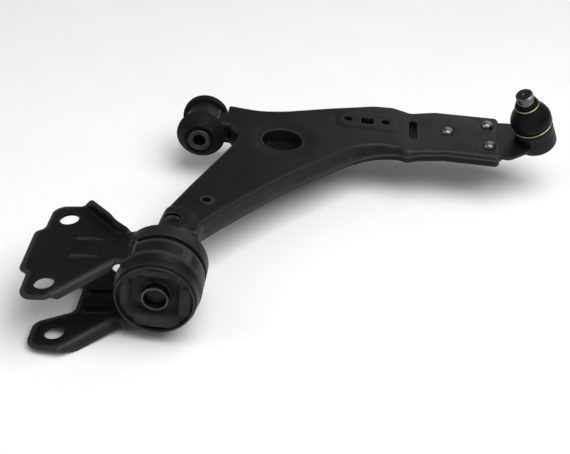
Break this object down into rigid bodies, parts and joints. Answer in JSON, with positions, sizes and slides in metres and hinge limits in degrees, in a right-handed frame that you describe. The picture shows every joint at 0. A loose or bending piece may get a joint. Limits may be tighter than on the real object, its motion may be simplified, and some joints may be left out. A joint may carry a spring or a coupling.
{
  "type": "control arm",
  "caption": "L-shaped pressed-steel lower control arm with a horizontal front bush, a large rear bush in a forked bolt-on bracket and a booted pinch-bolt ball joint.",
  "frame": {"origin": "centre of the front bush, on the pivot axis", "axes": "+Y along the pivot axis from the rear bush to the front bush, +X outboard to the ball joint, +Z normal to the arm's plate, towards the ball pin"},
  "size_m": [0.5712, 0.4683, 0.1409],
  "materials": {
    "coated_steel": "black electro-dip coat, satin, over pressed steel",
    "coated_forging": "black electro-dip coat over a forged surface",
    "bush_rubber": "moulded natural rubber, matt",
    "boot_rubber": "moulded chloroprene rubber, smooth and slightly shiny",
    "bare_steel": "turned steel, lightly oiled",
    "rivet_steel": "zinc plated, bright",
    "clamp_wire": "yellow passivated spring wire",
    "seat_plastic": "acetal, natural"
  },
  "bodies": {
    "arm": {"arm_upper_shell": "coated_steel", "arm_lower_shell": "coated_steel", "seam_weld": "coated_steel", "eye_weld": "coated_steel", "front_eye_tube": "coated_steel", "front_bush_shell": "bare_steel", "front_bush_rubber": "bush_rubber", "rear_spigot": "bare_steel", "rear_bush_sleeve": "bare_steel", "ball_joint_plate": "coated_forging", "ball_joint_housing": "coated_forging", "ball_joint_cap": "coated_forging", "ball_joint_rivets": "rivet_steel", "dust_boot": "boot_rubber", "boot_lower_ring": "clamp_wire"},
    "rear_bracket": {"bracket_upper_plate": "coated_steel", "bracket_lower_plate": "coated_steel", "bracket_tube": "coated_steel", "bracket_weld": "coated_steel", "rear_bush_shell": "coated_steel", "rear_bush_rubber": "bush_rubber", "rear_collar": "coated_steel"},
    "front_pivot": {"front_bush_sleeve": "bare_steel"},
    "ball_seat_body": {"ball_seat": "seat_plastic"},
    "boot_top": {"boot_collar": "boot_rubber", "boot_upper_ring": "clamp_wire"},
    "stud": {"ball_stud": "bare_steel"}
  },
  "joints": [
    {"name": "rear_bush_twist", "type": "hinge", "parent": "arm", "child": "rear_bracket", "pos_m": [0, -0.305, 0], "axis": [0, 1, 0], "range_deg": [-18, 18], "stiffness_Nm_per_rad": 90},
    {"name": "front_bush_twist", "type": "hinge", "parent": "arm", "child": "front_pivot", "pos_m": [0, 0, 0], "axis": [0, 1, 0], "range_deg": [-18, 18], "stiffness_Nm_per_rad": 45},
    {"name": "ball_rock", "type": "hinge", "parent": "arm", "child": "ball_seat_body", "pos_m": [0.4048, 0.037, 0.0219], "axis": [0.9168, 0, 0.3993], "range_deg": [-18, 18], "deforming": ["dust_boot"]},
    {"name": "ball_swing", "type": "hinge", "parent": "ball_seat_body", "child": "boot_top", "pos_m": [0.4048, 0.037, 0.0219], "axis": [-0.0942, 0.9718, 0.2164], "range_deg": [-18, 18], "deforming": ["dust_boot"]},
    {"name": "stud_spin", "type": "hinge", "parent": "boot_top", "child": "stud", "pos_m": [0.4048, 0.037, 0.0219], "axis": [-0.388, -0.236, 0.8909], "continuous": true}
  ]
}
